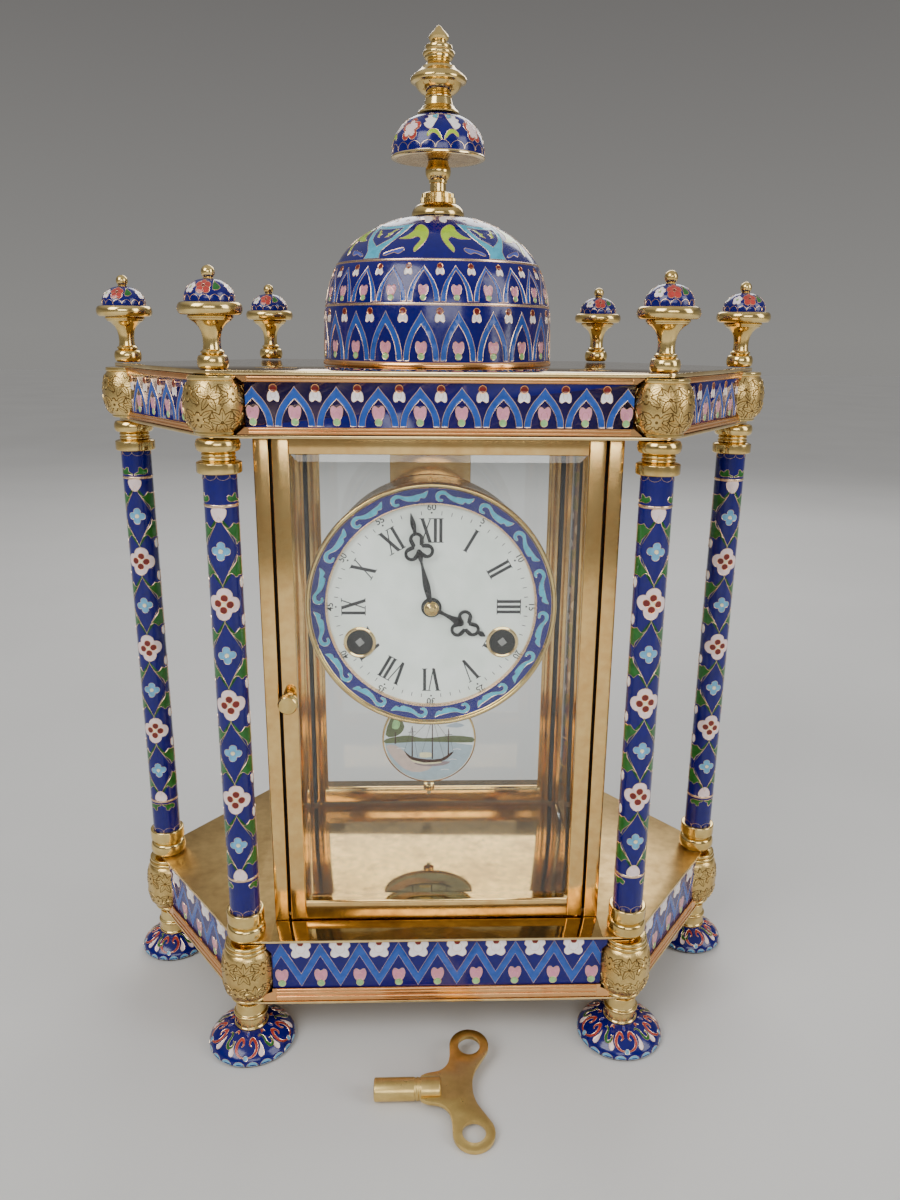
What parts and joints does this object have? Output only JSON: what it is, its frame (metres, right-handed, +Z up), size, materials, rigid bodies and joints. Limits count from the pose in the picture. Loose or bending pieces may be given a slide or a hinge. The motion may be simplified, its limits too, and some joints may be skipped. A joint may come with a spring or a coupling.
{
  "type": "mantel clock",
  "caption": "Glazed mantel clock with a domed canopy on turned enamelled columns, hinged doors, round dial, pendulum movement and loose winding key.",
  "frame": {"origin": "on the surface that the clock stands on, under the middle of the whole set, clock and key", "axes": "+Z up, +X to the viewer's right, -Y towards the viewer who faces the dial"},
  "size_m": [0.3702, 0.2772, 0.5226],
  "materials": {
    "turned_brass": "polished and lacquered, with engraved drums",
    "plate_brass": "mirror polished sheet",
    "case_brass": "polished bar and sheet",
    "movement_brass": "fine brushed",
    "key_brass": "worn satin",
    "column_enamel": "polished cloisonne enamel over a brass tube",
    "frieze_enamel": "polished cloisonne enamel between copper-coloured rails",
    "dome_enamel": "polished cloisonne enamel",
    "dial_enamel": "white vitreous enamel",
    "hand_steel": "gloss black",
    "arbor_steel": "turned steel",
    "glass": "clear, bevelled at the edges"
  },
  "bodies": {
    "clock_case": {"leg_front_left": "turned_brass", "leg_front_right": "turned_brass", "leg_right": "turned_brass", "leg_back_right": "turned_brass", "leg_back_left": "turned_brass", "leg_left": "turned_brass", "column_front_left": "column_enamel", "column_front_right": "column_enamel", "column_right": "column_enamel", "column_back_right": "column_enamel", "column_back_left": "column_enamel", "column_left": "column_enamel", "canopy_drum_front_left": "turned_brass", "canopy_drum_front_right": "turned_brass", "canopy_drum_right": "turned_brass", "canopy_drum_back_right": "turned_brass", "canopy_drum_back_left": "turned_brass", "canopy_drum_left": "turned_brass", "finial_front_left": "turned_brass", "finial_front_right": "turned_brass", "finial_right": "turned_brass", "finial_back_right": "turned_brass", "finial_back_left": "turned_brass", "finial_left": "turned_brass", "base_bottom_plate": "plate_brass", "base_top_plate": "plate_brass", "canopy_bottom_plate": "plate_brass", "canopy_top_plate": "plate_brass", "base_frieze": "frieze_enamel", "canopy_frieze": "frieze_enamel", "dome_shell": "dome_enamel", "spire_stem": "turned_brass", "spire_bell": "dome_enamel", "spire_tip": "turned_brass", "case_post_front_left": "case_brass", "case_post_front_right": "case_brass", "case_post_back_left": "case_brass", "case_post_back_right": "case_brass", "side_glass_left": "glass", "side_glass_right": "glass", "bezel": "turned_brass", "dial": "dial_enamel", "movement_drum": "case_brass", "movement_frame": "movement_brass", "bell": "movement_brass"},
    "front_door": {"door_frame": "case_brass", "door_glass": "glass"},
    "door_knob": {"door_knob": "turned_brass"},
    "back_door": {"back_door_frame": "case_brass", "back_door_glass": "glass"},
    "minute_hand": {"minute_hand": "hand_steel"},
    "hour_hand": {"hour_hand": "hand_steel"},
    "going_winder": {"going_winder": "arbor_steel"},
    "strike_winder": {"strike_winder": "arbor_steel"},
    "escape_wheel": {"escape_wheel": "movement_brass"},
    "anchor": {"anchor": "arbor_steel"},
    "pendulum": {"pendulum_rod": "movement_brass", "pendulum_bob": "dial_enamel"},
    "hammer": {"hammer": "arbor_steel"},
    "winding_key": {"winding_key": "key_brass"}
  },
  "joints": [
    {"name": "front_door_hinge", "type": "hinge", "parent": "clock_case", "child": "front_door", "pos_m": [0.07715, -0.04284, 0.19825], "axis": [0, 0, 1], "range_deg": [0, 105]},
    {"name": "door_knob_turn", "type": "hinge", "parent": "front_door", "child": "door_knob", "pos_m": [-0.07565, -0.04534, 0.1968], "axis": [0, -1, 0], "range_deg": [0, 90]},
    {"name": "back_door_hinge", "type": "hinge", "parent": "clock_case", "child": "back_door", "pos_m": [-0.07715, 0.08996, 0.19825], "axis": [0, 0, 1], "range_deg": [0, 105]},
    {"name": "minute_hand_turn", "type": "hinge", "parent": "clock_case", "child": "minute_hand", "pos_m": [-0.0035, -0.02934, 0.24], "axis": [0, 1, 0], "continuous": true},
    {"name": "hour_hand_turn", "type": "hinge", "parent": "clock_case", "child": "hour_hand", "pos_m": [-0.0035, -0.02934, 0.24], "axis": [0, 1, 0], "continuous": true},
    {"name": "going_winder_turn", "type": "hinge", "parent": "clock_case", "child": "going_winder", "pos_m": [0.0338, -0.00934, 0.2207], "axis": [0, 1, 0], "continuous": true},
    {"name": "strike_winder_turn", "type": "hinge", "parent": "clock_case", "child": "strike_winder", "pos_m": [-0.0408, -0.00934, 0.2207], "axis": [0, 1, 0], "continuous": true},
    {"name": "escape_wheel_turn", "type": "hinge", "parent": "clock_case", "child": "escape_wheel", "pos_m": [-0.0035, 0.00166, 0.266], "axis": [0, 1, 0], "continuous": true},
    {"name": "pendulum_swing", "type": "hinge", "parent": "clock_case", "child": "pendulum", "pos_m": [-0.0035, 0.04926, 0.29], "axis": [0, 1, 0], "range_deg": [-6, 6]},
    {"name": "anchor_rock", "type": "hinge", "parent": "clock_case", "child": "anchor", "pos_m": [-0.0035, 0.01066, 0.29], "axis": [0, 1, 0], "range_deg": [-6, 6]},
    {"name": "hammer_lift", "type": "hinge", "parent": "clock_case", "child": "hammer", "pos_m": [0.0345, 0.03066, 0.254], "axis": [0, -1, 0], "range_deg": [0, 15], "stiffness_Nm_per_rad": 0.01, "springref_deg": -11.46},
    {"name": "winding_key_lift", "type": "slide", "parent": "clock_case", "child": "winding_key", "axis": [0, 0, 1], "range_m": [0, 0.06]}
  ],
  "couplings": [
    {"joint": "hour_hand_turn", "follows": "minute_hand_turn", "ratio": 0.083333},
    {"joint": "anchor_rock", "follows": "pendulum_swing", "ratio": 1}
  ]
}
